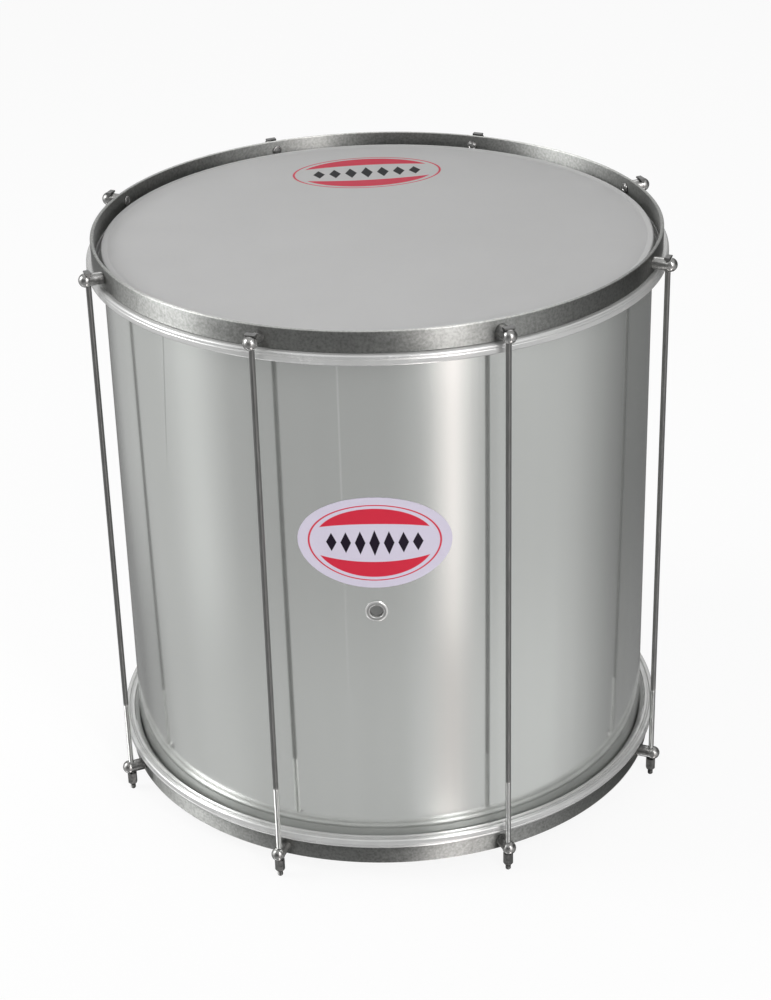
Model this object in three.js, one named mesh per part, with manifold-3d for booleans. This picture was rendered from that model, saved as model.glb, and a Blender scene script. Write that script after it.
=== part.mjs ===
import * as THREE from 'three';
import { mergeVertices } from 'three/addons/utils/BufferGeometryUtils.js';
import Module from 'manifold-3d';

// A surdo, the deep drum of a samba band: a metal shell with a film head at each end, pulled tight
// by eight long rods. Millimetres, +Z up. It stands on the tips of the rods, at z = 0, and its
// front, with the label and the vent, looks along -Y.

// Clearances that every seat and every bore in the drum shares
const seatGap = 0.3;
const boreClearance = 0.3;

// Shell: a straight tube of sheet metal, whose two edges are turned in to carry the heads
const shellDiameter = 508;
const shellHeight = 510;
const shellWall = 1.2;
const turnedEdgeWidth = 5;
const turnedEdgeBevel = 0.6;

// Front line of the shell: the azimuth of the vent and the label, and the vent's height on the shell
const frontAzimuth = THREE.MathUtils.degToRad(267.9);
const ventHeight = 252.5;

// Vent eyelet, rolled over a washer inside the shell
const ventBore = 12;
const eyeletWall = 0.8;
const eyeletFlangeWidth = 3.4;
const eyeletFlangeThickness = 1.1;
const eyeletFlangeBevel = 0.4;
const eyeletLipWidth = 1.6;
const eyeletLipThickness = 0.7;
const washerWidth = 2.4;
const washerThickness = 1;

// Label, an oval of thin film stuck to the shell above the vent
const labelWidth = 134;
const labelHeight = 88;
const labelThickness = 0.2;
const labelAboveEyelet = 13.5;

// Heads: each film folds down over the shell's edge into its flesh hoop
const filmThickness = 0.25;
const filmClearance = 0.3;
const fleshHoopStandOff = 5.4;
const fleshHoopWidth = 9.1;
const fleshHoopHeight = 9.3;

// Section of a flesh hoop, seen with the drum's axis on the left and the rim above. Each point is
// a share of the hoop's width and of its height: a flat top under the counterhoop, a rounded
// outer face with one groove, and a channel between two ridges on the underside.
const fleshHoopSectionShares = [
  [0, 0.08],
  [0.06, 0],
  [0.32, 0],
  [0.4, 0.11],
  [0.54, 0.11],
  [0.66, 0.01],
  [0.88, 0.01],
  [1, 0.13],
  [0.96, 0.24],
  [0.94, 0.32],
  [1, 0.42],
  [1, 0.74],
  [0.86, 0.95],
  [0.7, 1],
  [0, 1],
];

// Where a film starts to flare out and where it ends, as shares of the flesh hoop's height
const filmFlareStartShare = 0.35;
const filmFlareEndShare = 0.8;

// Counterhoops: flat steel bar on edge, drawn down past the shell's edge
const counterhoopStandOff = 6.1;
const counterhoopThickness = 3.2;
const counterhoopHeight = 19;
const counterhoopBevel = 0.5;
const counterhoopDrawDown = 8;

// Tension rods, which pass outside the flesh hoops. The head is a short bar across the rod with a
// wedge-shaped underside, which lies in a slot of the upper post and keeps the rod from turning.
const rodDiameter = 5;
const rodPastFleshHoop = 6;
const rodTipBevel = 0.7;
const rodHeadFlare = 0.2;
const rodHeadLength = 9.6;
const rodHeadCrownHeight = 1.3;
const rodHeadBevel = 0.5;
const rodHeadWedgeAngle = THREE.MathUtils.degToRad(42);
const rodHeadProud = 1.1;
const rodTipBelowNut = 6.6;

// Posts, riveted through the counterhoops, with a cross hole for a rod. The upper ones also have
// the slot for its head.
const postCount = 8;
const postWallBesideRod = 2.95;
const postBallSwell = 0.65;
const postPastRod = 8.6;
const postShoulderBevel = 0.5;
const postShankDiameter = 6;
const rivetHeadDiameter = 9.5;
const rivetHeadHeight = 1.2;

// Tuning nuts, long hexagons on the rods' threaded feet
const nutWallBesideRod = 1.5;
const nutLength = 11.7;
const nutChamferAngle = THREE.MathUtils.degToRad(30);

// How far a cutting shape runs past what it cuts
const cutOverrun = 1;

// Facets. An odd number of flats between posts puts each post on the middle of a flat.
const flatsPerPost = 7;
const ringSides = postCount * flatsPerPost;
const smallSides = 12;
const eyeletSides = 20;
const labelSides = 36;
const ballSteps = 5;
const rivetSteps = 2;

// The middle of a flat, and of a bore's flat, as shares of the distance of its corners
const ringFlatShare = Math.cos(Math.PI / ringSides);
const boreFlatShare = Math.cos(Math.PI / smallSides);

// Radii, all worked out from the shell
const shellRadius = shellDiameter / 2;
const fleshHoopInnerRadius = shellRadius + fleshHoopStandOff;
const fleshHoopOuterRadius = fleshHoopInnerRadius + fleshHoopWidth;
const counterhoopInnerRadius = shellRadius + counterhoopStandOff;
const counterhoopOuterRadius = counterhoopInnerRadius + counterhoopThickness;
const counterhoopFaceRadius = counterhoopOuterRadius * ringFlatShare;
const rodRadius = rodDiameter / 2;
const rodCircleRadius = fleshHoopOuterRadius + rodPastFleshHoop + rodRadius;
const rodHeadHalfWidth = rodRadius + rodHeadFlare;
const boreRadius = rodRadius + boreClearance;
const postRadius = boreRadius + postWallBesideRod;
const postBallRadius = postRadius + postBallSwell;

// Heights. A head's own heights count from the shell's edge towards its rim.
const rimAboveEdge = counterhoopHeight - counterhoopDrawDown;
const postAboveEdge = rimAboveEdge - counterhoopHeight / 2;
const fleshHoopTop = -counterhoopDrawDown - seatGap;
const fleshHoopBottom = fleshHoopTop - fleshHoopHeight;
const nutBottom = rodTipBelowNut;
const nutTop = nutBottom + nutLength;
const lowerPostHeight = nutTop + seatGap + postBallRadius;
const shellBottom = lowerPostHeight + postAboveEdge;
const shellTop = shellBottom + shellHeight;
const upperPostHeight = shellTop + postAboveEdge;
const rodHeadTop = upperPostHeight + postBallRadius + rodHeadProud;

const wasm = await Module();
wasm.setup();

// The azimuth of post number index, counted from 0
function postAzimuth(index) {
  return (index + 0.5) * 2 * Math.PI / postCount;
}

// A material with a colour from the drum
function finish(colour, roughness, metalness) {
  return new THREE.MeshStandardMaterial({ color: colour, roughness, metalness });
}

// A body turned about Z. Its section runs up the outside, so that its faces look outwards.
function turned(section, sides) {
  const points = section.map(([radius, height]) => new THREE.Vector2(radius, height));
  const geometry = new THREE.LatheGeometry(points, sides);
  return geometry.rotateX(Math.PI / 2);
}

// A ring about Z, whose section closes on itself
function turnedRing(section, sides) {
  return turned([...section, section[0]], sides);
}

// Turns a shape that stands along Z so that it lies along X
function laidOutwards(geometry) {
  return geometry.rotateY(Math.PI / 2);
}

// A closed geometry as a solid that can be cut and joined
function solid(geometry) {
  const bare = geometry.clone();
  bare.deleteAttribute('normal');
  bare.deleteAttribute('uv');
  const merged = mergeVertices(bare);
  const corners = merged.index.array;
  const kept = [];
  for (let i = 0; i < corners.length; i += 3) {
    const [a, b, c] = corners.slice(i, i + 3);
    if (a !== b && b !== c && c !== a) {
      kept.push(a, b, c);
    }
  }
  return new wasm.Manifold(new wasm.Mesh({
    numProp: 3,
    vertProperties: merged.attributes.position.array,
    triVerts: new Uint32Array(kept),
  }));
}

// The geometry of a solid
function geometryOf(body) {
  const mesh = body.getMesh();
  const geometry = new THREE.BufferGeometry();
  geometry.setAttribute('position', new THREE.BufferAttribute(mesh.vertProperties, 3));
  geometry.setIndex(new THREE.BufferAttribute(mesh.triVerts, 1));
  geometry.computeVertexNormals();
  return geometry;
}

function named(name, geometry, material) {
  const mesh = new THREE.Mesh(geometry, material);
  mesh.name = name;
  return mesh;
}

// A point of the faceted shell at an azimuth: the azimuth of that flat's middle, the distance of
// the flat from the axis, and how far along the flat the point lies
function placeOnShell(azimuth) {
  const step = 2 * Math.PI / ringSides;
  const middle = (Math.floor(azimuth / step) + 0.5) * step;
  const outwards = shellRadius * ringFlatShare;
  const along = outwards * Math.tan(azimuth - middle);
  return { middle, outwards, along };
}

// Shell, with its vent hole cut along the normal of the flat that carries the eyelet

const eyeletBarrelRadius = ventBore / 2 + eyeletWall;
const vent = placeOnShell(frontAzimuth);

function shellGeometry() {
  const inside = shellRadius - shellWall;
  const lip = shellRadius - turnedEdgeWidth;
  const tube = turnedRing([
    [lip, 0],
    [shellRadius - turnedEdgeBevel, 0],
    [shellRadius, turnedEdgeBevel],
    [shellRadius, shellHeight - turnedEdgeBevel],
    [shellRadius - turnedEdgeBevel, shellHeight],
    [lip, shellHeight],
    [lip, shellHeight - shellWall],
    [inside, shellHeight - shellWall],
    [inside, shellWall],
    [lip, shellWall],
  ], ringSides);
  const holeRadius = eyeletBarrelRadius + boreClearance;
  const holeLength = 2 * (shellWall + cutOverrun);
  const hole = new THREE.CylinderGeometry(holeRadius, holeRadius, holeLength, eyeletSides);
  hole.rotateZ(-Math.PI / 2);
  hole.translate(vent.outwards, vent.along, ventHeight);
  hole.rotateZ(vent.middle);
  return geometryOf(solid(tube).subtract(solid(hole)));
}

// Vent eyelet: a flange on the shell, a barrel through it, and a lip rolled out over the washer

const washerOuterFace = -shellWall - seatGap;
const washerInnerFace = washerOuterFace - washerThickness;

function eyeletGeometry() {
  const bore = ventBore / 2;
  const flangeRadius = eyeletBarrelRadius + eyeletFlangeWidth;
  const flangeFace = seatGap + eyeletFlangeThickness;
  const lipRadius = eyeletBarrelRadius + eyeletLipWidth;
  const lipFace = washerInnerFace - seatGap;
  const lipEnd = lipFace - eyeletLipThickness;
  return laidOutwards(turnedRing([
    [bore, lipEnd],
    [lipRadius, lipEnd],
    [lipRadius, lipFace],
    [eyeletBarrelRadius, lipFace],
    [eyeletBarrelRadius, seatGap],
    [flangeRadius, seatGap],
    [flangeRadius, flangeFace - eyeletFlangeBevel],
    [flangeRadius - eyeletFlangeBevel, flangeFace],
    [bore + eyeletFlangeBevel, flangeFace],
    [bore, flangeFace - eyeletFlangeBevel],
  ], eyeletSides));
}

function washerGeometry() {
  const bore = eyeletBarrelRadius + boreClearance;
  return laidOutwards(turnedRing([
    [bore, washerInnerFace],
    [bore + washerWidth, washerInnerFace],
    [bore + washerWidth, washerOuterFace],
    [bore, washerOuterFace],
  ], eyeletSides));
}

// Label: the part of a thin sleeve round the shell that lies behind an oval seen from the front

const eyeletFlangeTop = ventHeight + eyeletBarrelRadius + eyeletFlangeWidth;
const labelMiddle = eyeletFlangeTop + labelAboveEyelet + labelHeight / 2;

function labelGeometry() {
  const inside = shellRadius + seatGap;
  const outside = inside + labelThickness;
  const reach = labelHeight / 2 + cutOverrun;
  const sleeve = turnedRing([
    [inside, labelMiddle - reach],
    [outside, labelMiddle - reach],
    [outside, labelMiddle + reach],
    [inside, labelMiddle + reach],
  ], ringSides);
  const oval = new THREE.Shape();
  oval.absellipse(0, 0, labelWidth / 2, labelHeight / 2, 0, 2 * Math.PI, false, 0);
  const beam = new THREE.ExtrudeGeometry(oval, {
    depth: outside + cutOverrun,
    bevelEnabled: false,
    curveSegments: labelSides,
  });
  beam.rotateX(Math.PI / 2);
  beam.rotateZ(frontAzimuth + Math.PI / 2);
  beam.translate(0, 0, labelMiddle);
  return geometryOf(solid(sleeve).intersect(solid(beam)));
}

// Film of a head: a disc over the shell's edge, a collar down its side, and a flare that ends
// inside the flesh hoop

function filmGeometry() {
  const inside = shellRadius + filmClearance;
  const outside = inside + filmThickness;
  const flareEdge = fleshHoopInnerRadius - seatGap;
  const flareStart = fleshHoopTop - filmFlareStartShare * fleshHoopHeight;
  const flareEnd = fleshHoopTop - filmFlareEndShare * fleshHoopHeight;
  const top = seatGap + filmThickness;
  return turned([
    [0, seatGap],
    [inside, seatGap],
    [inside, flareStart],
    [flareEdge - filmThickness, flareEnd],
    [flareEdge, flareEnd],
    [outside, flareStart],
    [outside, top - filmThickness / 2],
    [inside, top],
    [0, top],
  ], ringSides);
}

// Flesh hoop of a head, against the edge of the counterhoop

function fleshHoopGeometry() {
  return turnedRing(fleshHoopSectionShares.map(([outwards, upwards]) => [
    fleshHoopInnerRadius + outwards * fleshHoopWidth,
    fleshHoopBottom + upwards * fleshHoopHeight,
  ]), ringSides);
}

// Counterhoop: a bar on edge with a hole for the shank of each post

function counterhoopGeometry() {
  const low = -counterhoopDrawDown;
  const high = rimAboveEdge;
  const ring = turnedRing([
    [counterhoopInnerRadius + counterhoopBevel, low],
    [counterhoopOuterRadius - counterhoopBevel, low],
    [counterhoopOuterRadius, low + counterhoopBevel],
    [counterhoopOuterRadius, high - counterhoopBevel],
    [counterhoopOuterRadius - counterhoopBevel, high],
    [counterhoopInnerRadius + counterhoopBevel, high],
    [counterhoopInnerRadius, high - counterhoopBevel],
    [counterhoopInnerRadius, low + counterhoopBevel],
  ], ringSides);
  const holeRadius = (postShankDiameter / 2 + boreClearance) / boreFlatShare;
  const holeLength = 2 * (counterhoopThickness + cutOverrun);
  let body = solid(ring);
  for (let i = 0; i < postCount; i += 1) {
    const hole = new THREE.CylinderGeometry(holeRadius, holeRadius, holeLength, smallSides);
    hole.rotateZ(-Math.PI / 2);
    hole.translate(counterhoopFaceRadius, 0, postAboveEdge);
    hole.rotateZ(postAzimuth(i));
    body = body.subtract(solid(hole));
  }
  return geometryOf(body);
}

// Post, lying along X from the outer face of its counterhoop at x = 0: a rivet head inside the
// hoop, a shank through it, a round body and a ball end, with the rod's hole across it

const rodPastHoopFace = rodCircleRadius - counterhoopFaceRadius;
const postLength = rodPastHoopFace + postPastRod;

function postBlank() {
  const rivetBase = -counterhoopThickness * ringFlatShare - seatGap;
  const rivetRadius = rivetHeadDiameter / 2;
  const shankRadius = postShankDiameter / 2;
  const section = [];
  for (let i = 0; i <= rivetSteps; i += 1) {
    const angle = i / rivetSteps * Math.PI / 2;
    section.push([
      rivetRadius * Math.sin(angle),
      rivetBase - rivetHeadHeight * Math.cos(angle),
    ]);
  }
  section.push(
    [shankRadius, rivetBase],
    [shankRadius, seatGap],
    [postRadius - postShoulderBevel, seatGap],
    [postRadius, seatGap + postShoulderBevel],
  );
  const ballMiddle = postLength - postBallRadius;
  const ballStart = Math.asin(postRadius / postBallRadius);
  for (let i = 0; i <= ballSteps; i += 1) {
    const angle = ballStart + i / ballSteps * (Math.PI - ballStart);
    section.push([
      i < ballSteps ? postBallRadius * Math.sin(angle) : 0,
      ballMiddle - postBallRadius * Math.cos(angle),
    ]);
  }
  return laidOutwards(turned(section, smallSides));
}

function rodHole() {
  const radius = boreRadius / boreFlatShare;
  const length = 2 * (postBallRadius + cutOverrun);
  const hole = new THREE.CylinderGeometry(radius, radius, length, smallSides);
  hole.rotateX(Math.PI / 2);
  return hole.translate(rodPastHoopFace, 0, 0);
}

// A bar across the post, with a wedge-shaped underside. It lies along Y, and its top is at
// height 0. Its sides can stand off, to cut the slot that it lies in.
function wedgeBar(length, crownHeight, standOff) {
  const halfWidth = rodHeadHalfWidth + standOff / Math.cos(rodHeadWedgeAngle);
  const wedgeTop = -rodHeadCrownHeight;
  const wedgeTip = wedgeTop - halfWidth / Math.tan(rodHeadWedgeAngle);
  const section = new THREE.Shape([
    new THREE.Vector2(0, wedgeTip),
    new THREE.Vector2(halfWidth, wedgeTop),
    new THREE.Vector2(halfWidth, wedgeTop + crownHeight - rodHeadBevel),
    new THREE.Vector2(halfWidth - rodHeadBevel, wedgeTop + crownHeight),
    new THREE.Vector2(rodHeadBevel - halfWidth, wedgeTop + crownHeight),
    new THREE.Vector2(-halfWidth, wedgeTop + crownHeight - rodHeadBevel),
    new THREE.Vector2(-halfWidth, wedgeTop),
  ]);
  const bar = new THREE.ExtrudeGeometry(section, { depth: length, bevelEnabled: false });
  bar.translate(0, 0, -length / 2);
  return bar.rotateX(Math.PI / 2);
}

function rodHeadSlot() {
  const length = 2 * (postBallRadius + cutOverrun);
  const slot = wedgeBar(length, rodHeadCrownHeight + cutOverrun, seatGap);
  return slot.translate(rodPastHoopFace, 0, postBallRadius + rodHeadProud);
}

// Tension rod, from its bevelled tip to the bar of its head

function rodGeometry() {
  const shankTop = rodHeadTop - rodHeadCrownHeight / 2;
  const shank = turned([
    [0, 0],
    [rodRadius - rodTipBevel, 0],
    [rodRadius, rodTipBevel],
    [rodRadius, shankTop],
    [0, shankTop],
  ], smallSides);
  const bar = wedgeBar(rodHeadLength, rodHeadCrownHeight, 0);
  bar.translate(0, 0, rodHeadTop);
  return geometryOf(solid(shank).add(solid(bar)));
}

// Tuning nut: a hexagon with chamfered ends and a bore for the rod

function nutGeometry() {
  const flatRadius = rodRadius + nutWallBesideRod;
  const cornerRadius = flatRadius / Math.cos(Math.PI / 6);
  const chamferRadius = cornerRadius + cutOverrun;
  const chamferRise = (chamferRadius - flatRadius) * Math.tan(nutChamferAngle);
  const hexagon = new THREE.CylinderGeometry(cornerRadius, cornerRadius, nutLength, 6);
  hexagon.rotateX(Math.PI / 2);
  hexagon.translate(0, 0, nutLength / 2);
  const chamfers = turned([
    [0, 0],
    [flatRadius, 0],
    [chamferRadius, chamferRise],
    [chamferRadius, nutLength - chamferRise],
    [flatRadius, nutLength],
    [0, nutLength],
  ], smallSides);
  const radius = boreRadius / boreFlatShare;
  const length = nutLength + 2 * cutOverrun;
  const bore = new THREE.CylinderGeometry(radius, radius, length, smallSides);
  bore.rotateX(Math.PI / 2);
  bore.translate(0, 0, nutLength / 2);
  return geometryOf(solid(hexagon).intersect(solid(chamfers)).subtract(solid(bore)));
}

// Assembly

const surdo = new THREE.Group();

const shell = named('shell', shellGeometry(), finish(0xa9aaa8, 0.34, 1));
shell.position.z = shellBottom;
surdo.add(shell);

const ventSeat = new THREE.Group();
ventSeat.rotation.z = vent.middle;
const eyelet = named('vent_eyelet', eyeletGeometry(), finish(0xb9bab9, 0.3, 1));
eyelet.position.set(vent.outwards, vent.along, shellBottom + ventHeight);
const washer = named('vent_eyelet_washer', washerGeometry(), finish(0x9c9d9c, 0.4, 1));
washer.position.copy(eyelet.position);
ventSeat.add(eyelet, washer);
surdo.add(ventSeat);

const label = named('front_label', labelGeometry(), finish(0xe9e8ee, 0.35, 0));
label.position.z = shellBottom;
surdo.add(label);

// The upper head stands on the shell's upper edge, and the lower head hangs upside down from the
// lower edge, so it counts its azimuths backwards.
const plainPost = solid(postBlank()).subtract(solid(rodHole()));
const heads = [
  {
    film: 'batter_film',
    fleshHoop: 'batter_flesh_hoop',
    side: 'top',
    edge: shellTop,
    tilt: 0,
    turn: 1,
    post: geometryOf(plainPost.subtract(solid(rodHeadSlot()))),
  },
  {
    film: 'resonant_film',
    fleshHoop: 'resonant_flesh_hoop',
    side: 'bottom',
    edge: shellBottom,
    tilt: Math.PI,
    turn: -1,
    post: geometryOf(plainPost),
  },
];
for (const head of heads) {
  const group = new THREE.Group();
  group.position.z = head.edge;
  group.rotation.x = head.tilt;
  group.add(
    named(head.film, filmGeometry(), finish(0xd4d4d4, 0.55, 0)),
    named(head.fleshHoop, fleshHoopGeometry(), finish(0xc9cac9, 0.3, 1)),
    named(`${head.side}_counterhoop`, counterhoopGeometry(), finish(0x6f706f, 0.42, 1)),
  );
  for (let i = 0; i < postCount; i += 1) {
    const azimuth = head.turn * postAzimuth(i);
    const post = named(`${head.side}_post_${i + 1}`, head.post, finish(0x8d8985, 0.35, 1));
    post.rotation.z = azimuth;
    post.position.x = counterhoopFaceRadius * Math.cos(azimuth);
    post.position.y = counterhoopFaceRadius * Math.sin(azimuth);
    post.position.z = postAboveEdge;
    group.add(post);
  }
  surdo.add(group);
}

// Each rod stands in its two posts, with its nut under the lower one.
for (let i = 0; i < postCount; i += 1) {
  const azimuth = postAzimuth(i);
  const line = new THREE.Group();
  line.position.x = rodCircleRadius * Math.cos(azimuth);
  line.position.y = rodCircleRadius * Math.sin(azimuth);
  line.rotation.z = azimuth;
  const rod = named(`tension_rod_${i + 1}`, rodGeometry(), finish(0x6b6a69, 0.35, 1));
  const nut = named(`tuning_nut_${i + 1}`, nutGeometry(), finish(0x7d7b79, 0.38, 1));
  nut.position.z = nutBottom;
  line.add(rod, nut);
  surdo.add(line);
}

export default surdo;
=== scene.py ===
import math

import bmesh
import bpy
from mathutils import Matrix, Vector


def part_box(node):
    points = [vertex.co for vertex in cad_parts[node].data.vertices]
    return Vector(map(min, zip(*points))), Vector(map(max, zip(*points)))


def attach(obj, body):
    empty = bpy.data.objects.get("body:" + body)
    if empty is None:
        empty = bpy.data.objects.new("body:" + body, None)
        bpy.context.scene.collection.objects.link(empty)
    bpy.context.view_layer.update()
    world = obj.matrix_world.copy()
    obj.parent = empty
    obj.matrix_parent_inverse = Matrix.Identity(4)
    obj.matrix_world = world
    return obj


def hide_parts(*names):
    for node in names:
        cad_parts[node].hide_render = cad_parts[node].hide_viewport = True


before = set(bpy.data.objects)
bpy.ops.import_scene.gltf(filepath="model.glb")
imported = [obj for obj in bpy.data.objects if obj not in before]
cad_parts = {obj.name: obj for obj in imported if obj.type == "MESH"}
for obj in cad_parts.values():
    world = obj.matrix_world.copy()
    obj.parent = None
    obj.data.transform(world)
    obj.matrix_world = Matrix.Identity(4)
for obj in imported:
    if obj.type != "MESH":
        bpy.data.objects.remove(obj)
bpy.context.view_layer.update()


# Camera: a long lens in front of the drum and above its rim, tipped down at the shell. It leans
# about a degree to one side, and its frame is shifted a little off the lens's middle.

def in_scene(name, data):
    """Puts an object that holds this data into the scene."""
    thing = bpy.data.objects.new(name, data)
    bpy.context.scene.collection.objects.link(thing)
    return thing


camera_data = bpy.data.cameras.new("front_camera")
camera_data.lens = 80.95
camera_data.shift_x = -0.0047
camera_data.shift_y = -0.0062
camera = in_scene("front_camera", camera_data)
camera.location = (0, -1.9615, 1.2644)
camera.rotation_euler = [math.radians(turn) for turn in (62.977, 1.316, -0.845)]
bpy.context.scene.camera = camera
bpy.context.scene.view_settings.view_transform = "Standard"


# Studio: a pale floor that keeps the drum's shadow, a room that is white to the camera, and three
# soft lamps: a wide one at the left, a narrow one in front at the right and a dim one behind. In
# mirrored rays the floor is left out, and the room has bright and dark panels round its wall.

def add(tree, kind, values=None, **settings):
    """Adds a node. A value is a number, a colour, or the socket that feeds the input."""
    node = tree.nodes.new(kind)
    for name, setting in settings.items():
        setattr(node, name, setting)
    for name, value in (values or {}).items():
        if isinstance(value, bpy.types.NodeSocket):
            tree.links.new(value, node.inputs[name])
        else:
            node.inputs[name].default_value = value
    return node


def calc(tree, operation, *values):
    """Adds a sum of one to three numbers or sockets, and returns its result."""
    return add(tree, "ShaderNodeMath", dict(enumerate(values)), operation=operation).outputs[0]


def vector_calc(tree, operation, *values):
    """The same for vectors. A length and a dot product come out as a number."""
    node = add(tree, "ShaderNodeVectorMath", dict(enumerate(values)), operation=operation)
    return node.outputs["Value" if operation in ("LENGTH", "DOT_PRODUCT") else "Vector"]


def mapped(tree, value, low, high, at_low=0, at_high=1, smooth=False):
    """Maps a value between two limits to a value between two others, level beyond them."""
    return add(tree, "ShaderNodeMapRange", {
        "Value": value,
        "From Min": low,
        "From Max": high,
        "To Min": at_low,
        "To Max": at_high,
    }, interpolation_type="SMOOTHSTEP" if smooth else "LINEAR").outputs[0]


def mixed(tree, share, first, second, kind="FLOAT"):
    """Mixes two numbers, or two colours, by the share of the second."""
    sockets = {"FLOAT": (2, 3), "RGBA": (6, 7)}[kind]
    node = add(tree, "ShaderNodeMix", {0: share, sockets[0]: first, sockets[1]: second},
               data_type=kind)
    return node.outputs[{"FLOAT": 0, "RGBA": 2}[kind]]


def seen_directly(tree):
    """1 for what the camera, a reflection or clear glass looks at, and 0 for diffuse light."""
    path = add(tree, "ShaderNodeLightPath").outputs
    looked_at = calc(tree, "MAXIMUM", path["Is Camera Ray"], path["Is Glossy Ray"])
    return calc(tree, "MAXIMUM", looked_at, path["Is Transmission Ray"])


floor_width = 16
floor_white_share = 0.9
floor_paper = (0.9, 0.9, 0.9, 1)
floor_material = bpy.data.materials.new("studio_floor")
floor_material.use_nodes = True
floor_nodes = floor_material.node_tree
floor_nodes.nodes.clear()
paper = add(floor_nodes, "ShaderNodeBsdfDiffuse", {"Color": floor_paper})
white = add(floor_nodes, "ShaderNodeEmission", {"Color": (1, 1, 1, 1), "Strength": 1})
floor_mix = add(floor_nodes, "ShaderNodeMixShader", {
    0: calc(floor_nodes, "MULTIPLY", seen_directly(floor_nodes), floor_white_share),
    1: paper.outputs[0],
    2: white.outputs[0],
})
add(floor_nodes, "ShaderNodeOutputMaterial", {"Surface": floor_mix.outputs[0]})
floor_mesh = bpy.data.meshes.new("studio_floor")
half_floor = floor_width / 2
floor_corners = [(-half_floor, -half_floor), (half_floor, -half_floor),
                 (half_floor, half_floor), (-half_floor, half_floor)]
floor_mesh.from_pydata([(x, y, 0) for x, y in floor_corners], [], [(0, 1, 2, 3)])
floor_mesh.materials.append(floor_material)
floor = in_scene("studio_floor", floor_mesh)
floor.visible_glossy = False

room_light = 0.5
darkest_wall = 0.05
ceiling_level = 0.8
strip_tint = (1.06, 0.98, 0.965, 1)
world = bpy.data.worlds.new("studio_room")
world.use_nodes = True
room = world.node_tree
room.nodes.clear()
sight = add(room, "ShaderNodeTexCoord").outputs["Generated"]
level_sight = vector_calc(room, "NORMALIZE", vector_calc(room, "MULTIPLY", sight, (1, 1, 0)))
slope = add(room, "ShaderNodeSeparateXYZ", {0: sight}).outputs[2]


def panel(azimuth, half_width, softness, brightness):
    """How much a panel at this azimuth adds to the wall. The angles are in degrees."""
    turn = math.radians(azimuth)
    towards = vector_calc(room, "DOT_PRODUCT", level_sight, (math.cos(turn), math.sin(turn), 0))
    away = calc(room, "ARCCOSINE", calc(room, "MINIMUM", towards, 1))
    return mapped(room, away, math.radians(half_width - softness),
                  math.radians(half_width + softness), brightness, 0, smooth=True)


def between(low, high):
    """0 to 1 as a line of sight rises or sinks from one slope to another."""
    return mapped(room, slope, low, high, smooth=True)


def gaining(level, low, high, gain):
    """A brightness, and what it gains between two slopes. A negative gain is a loss."""
    return calc(room, "MULTIPLY_ADD", between(low, high), gain, level)


def round_the_room(level, *panels):
    """The brightness of a height of the room: an even level, and its panels."""
    for one in panels:
        level = calc(room, "ADD", level, one)
    return calc(room, "MAXIMUM", level, darkest_wall)


# The wall as metal mirrors it: below the horizon, above it, and where it meets the floor
strip_fades = gaining(gaining(1, -0.42, -0.5, -0.3), -0.5, -0.57, -0.62)
left_fades = gaining(1, -0.46, -0.57, -0.75)
low_wall = round_the_room(
    gaining(0.42, -0.42, -0.62, 0.135),
    calc(room, "MULTIPLY", panel(165, 38, 18, 0.15), left_fades),
    calc(room, "MULTIPLY", panel(187, 10, 13, 0.22), left_fades),
    calc(room, "MULTIPLY", panel(298.5, 5, 9, 0.88), strip_fades),
    panel(294, 14, 9, 0.13),
    panel(334, 24, 12, 0.17),
    panel(60, 42, 18, -0.26),
    calc(room, "MULTIPLY", panel(132, 16, 10, -0.2), between(-0.4, -0.54)),
    panel(112, 12, 10, -0.16),
)
high_wall = round_the_room(
    0.15,
    panel(178, 13, 12, 2.3),
    panel(178, 32, 14, 0.6),
    panel(298, 8, 9, 2.9),
    panel(310, 26, 12, 1.05),
    panel(40, 42, 14, -0.1),
    panel(90, 26, 14, 0.6),
    calc(room, "MULTIPLY", panel(174, 36, 14, 0.9), between(0.05, 0.3)),
    calc(room, "MULTIPLY", panel(316, 14, 10, 1.1), between(0.05, 0.3)),
)
near_floor = round_the_room(
    0.3,
    panel(178, 13, 12, 3.6),
    panel(298, 8, 9, 8.5),
    panel(60, 60, 24, -0.22),
    panel(144, 18, 12, -0.24),
    panel(346, 26, 14, -0.18),
)
wall_level = mixed(room, between(-0.3, 0.1), low_wall, high_wall)
wall_level = mixed(room, between(-0.7, -0.86), wall_level, near_floor)
mirrored = mixed(room, between(0.45, 0.75), wall_level, ceiling_level)
camera_ray = add(room, "ShaderNodeLightPath").outputs["Is Camera Ray"]
looked_at = mixed(room, camera_ray, mirrored, 1)
room_level = mixed(room, seen_directly(room), room_light, looked_at)
strip_share = calc(room, "MULTIPLY", panel(298, 6, 10, 1), seen_directly(room))
room_tint = mixed(room, strip_share, (1, 1, 1, 1), strip_tint, "RGBA")
backdrop = add(room, "ShaderNodeBackground", {"Color": room_tint, "Strength": room_level})
add(room, "ShaderNodeOutputWorld", {"Surface": backdrop.outputs[0]})
bpy.context.scene.world = world

lamp_target = Vector((0, 0, 0.28))


def lamp(name, azimuth, elevation, distance, width, height, watts):
    """Hangs an oblong soft lamp round the drum, in degrees and metres, facing the shell."""
    data = bpy.data.lights.new(name, "AREA")
    data.shape = "RECTANGLE"
    data.size = width
    data.size_y = height
    data.energy = watts
    hung = in_scene(name, data)
    turn = math.radians(azimuth)
    rise = math.radians(elevation)
    flat = math.cos(rise)
    away = Vector((flat * math.cos(turn), flat * math.sin(turn), math.sin(rise)))
    hung.location = lamp_target + distance * away
    hung.rotation_euler = away.to_track_quat("Z", "Y").to_euler()


lamp("wide_lamp_left", 182, 34, 2.6, 1.0, 1.2, 28)
lamp("strip_lamp_right", 297, 36, 2.4, 0.24, 1.6, 16)
lamp("dim_lamp_behind", 80, 55, 2.6, 1.4, 0.8, 8)


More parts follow.
